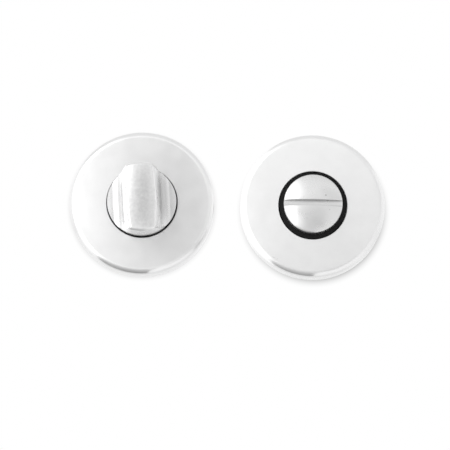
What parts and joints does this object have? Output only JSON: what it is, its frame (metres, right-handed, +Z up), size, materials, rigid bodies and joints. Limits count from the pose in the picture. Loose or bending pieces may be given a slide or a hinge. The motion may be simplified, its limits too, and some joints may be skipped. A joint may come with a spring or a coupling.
{
  "type": "bathroom thumb turn lock",
  "caption": "Bathroom turn and release: a round rose with a scooped thumb turn on a square spindle, beside a matching rose with a domed, coin-slotted release button.",
  "frame": {"origin": "on the thumb turn's axis, at the plane of the door's face, where the base's back seats", "axes": "+Z up, -Y out of the door towards the viewer, +Y into the door along the spindle, +X from the thumb turn to the release"},
  "size_m": [0.1134, 0.0705, 0.052],
  "materials": {
    "satin_aluminium": "satin anodised, finely brushed",
    "zinc_casting": "raw zinc die casting, fine sand texture",
    "black_nylon": "moulded black nylon, low sheen",
    "spring_steel": "blackened spring steel, oiled",
    "plated_steel": "bright zinc plated steel",
    "black_steel": "blackened steel"
  },
  "bodies": {
    "roses": {"turn_rose": "satin_aluminium", "turn_base": "zinc_casting", "turn_snap_ring": "spring_steel", "turn_bush": "black_nylon", "turn_bolts": "plated_steel", "release_rose": "satin_aluminium", "release_base": "zinc_casting", "release_snap_ring": "spring_steel", "release_bush": "black_nylon", "release_sleeves": "plated_steel"},
    "turn": {"thumb_turn": "satin_aluminium", "turn_spindle": "plated_steel", "turn_grub_screw": "black_steel", "turn_wave_washer": "spring_steel", "turn_backing_washer": "plated_steel", "turn_circlip": "spring_steel"},
    "release": {"release_button": "satin_aluminium", "release_wave_washer": "spring_steel", "release_backing_washer": "plated_steel", "release_circlip": "spring_steel"}
  },
  "joints": [
    {"name": "turn_hinge", "type": "hinge", "parent": "roses", "child": "turn", "pos_m": [0, -0.005, 0], "axis": [0, 1, 0], "range_deg": [0, 90]},
    {"name": "release_hinge", "type": "hinge", "parent": "roses", "child": "release", "pos_m": [0.0614, -0.005, 0], "axis": [0, 1, 0], "range_deg": [-90, 0]}
  ]
}
